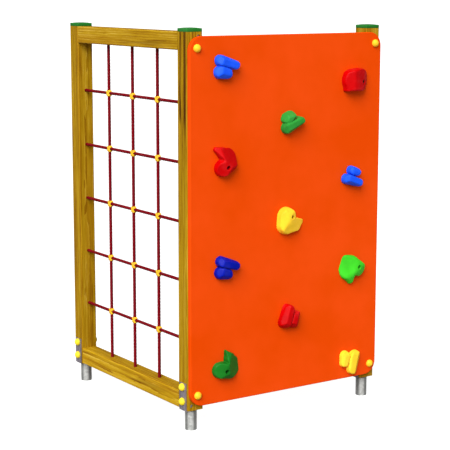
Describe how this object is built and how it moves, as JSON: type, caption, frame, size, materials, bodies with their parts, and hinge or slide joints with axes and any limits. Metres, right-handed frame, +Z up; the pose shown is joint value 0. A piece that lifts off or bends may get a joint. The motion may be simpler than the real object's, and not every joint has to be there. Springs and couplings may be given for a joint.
{
  "type": "rock climbing wall",
  "caption": "Freestanding corner climber: a climbing panel with moulded holds and a square rope net between timber posts on tube feet.",
  "frame": {"origin": "axis of the corner post at ground level, the centre of its foot tube's lower end", "axes": "+X along the climbing panel, +Y along the rope net, +Z up; the panel's climbing face looks to -Y and the net's outer face to -X"},
  "size_m": [1.258, 1.2809, 2.03],
  "materials": {
    "timber": "planed softwood, pressure treated, satin",
    "cap_green": "moulded, satin",
    "galvanised_steel": "hot-dip galvanised, matt",
    "panel_orange": "fine textured sheet",
    "plastic_yellow": "moulded, glossy",
    "hold_blue": "cast, satin",
    "hold_red": "cast, satin",
    "hold_green": "cast, satin",
    "hold_yellow": "cast, satin",
    "hold_navy": "cast, satin",
    "hold_lime": "cast, satin",
    "hold_dark_green": "cast, satin",
    "rope_maroon": "laid rope of twisted strands",
    "ferrule_aluminium": "pressed",
    "fastener_steel": "zinc plated"
  },
  "bodies": {
    "root": {"post_corner": "timber", "post_net_end": "timber", "post_panel_end": "timber", "rail_top": "timber", "rail_bottom": "timber", "rail_screws": "fastener_steel", "post_cap_corner": "cap_green", "post_cap_net_end": "cap_green", "post_cap_panel_end": "cap_green", "anchor_strap_corner": "galvanised_steel", "anchor_strap_net_end": "galvanised_steel", "anchor_strap_panel_end": "galvanised_steel", "foot_tube_corner": "galvanised_steel", "foot_tube_net_end": "galvanised_steel", "foot_tube_panel_end": "galvanised_steel", "anchor_bolts": "fastener_steel", "anchor_nuts": "fastener_steel", "anchor_washers": "fastener_steel", "anchor_bolt_caps": "plastic_yellow", "climbing_panel": "panel_orange", "panel_screws": "fastener_steel", "panel_washers": "fastener_steel", "panel_screw_caps": "plastic_yellow", "hold_01_blue_twin": "hold_blue", "hold_02_red_sloper": "hold_red", "hold_03_green_twin": "hold_green", "hold_04_red_hook": "hold_red", "hold_05_blue_twin": "hold_blue", "hold_06_yellow_hook": "hold_yellow", "hold_07_navy_twin": "hold_navy", "hold_08_lime_hook": "hold_lime", "hold_09_red_twin": "hold_red", "hold_10_green_hook": "hold_dark_green", "hold_11_yellow_twin": "hold_yellow", "hold_bolts": "fastener_steel", "hold_washers": "fastener_steel", "hold_tnuts": "fastener_steel", "hold_inserts": "fastener_steel", "rope_upright_1": "rope_maroon", "rope_upright_2": "rope_maroon", "rope_upright_3": "rope_maroon", "rope_level_1": "rope_maroon", "rope_level_2": "rope_maroon", "rope_level_3": "rope_maroon", "rope_level_4": "rope_maroon", "rope_level_5": "rope_maroon", "rope_ferrules": "ferrule_aluminium", "rope_washers": "fastener_steel", "rope_plugs": "timber", "connector_outer_shells": "plastic_yellow", "connector_inner_shells": "plastic_yellow", "connector_screws": "fastener_steel"}
  },
  "joints": []
}
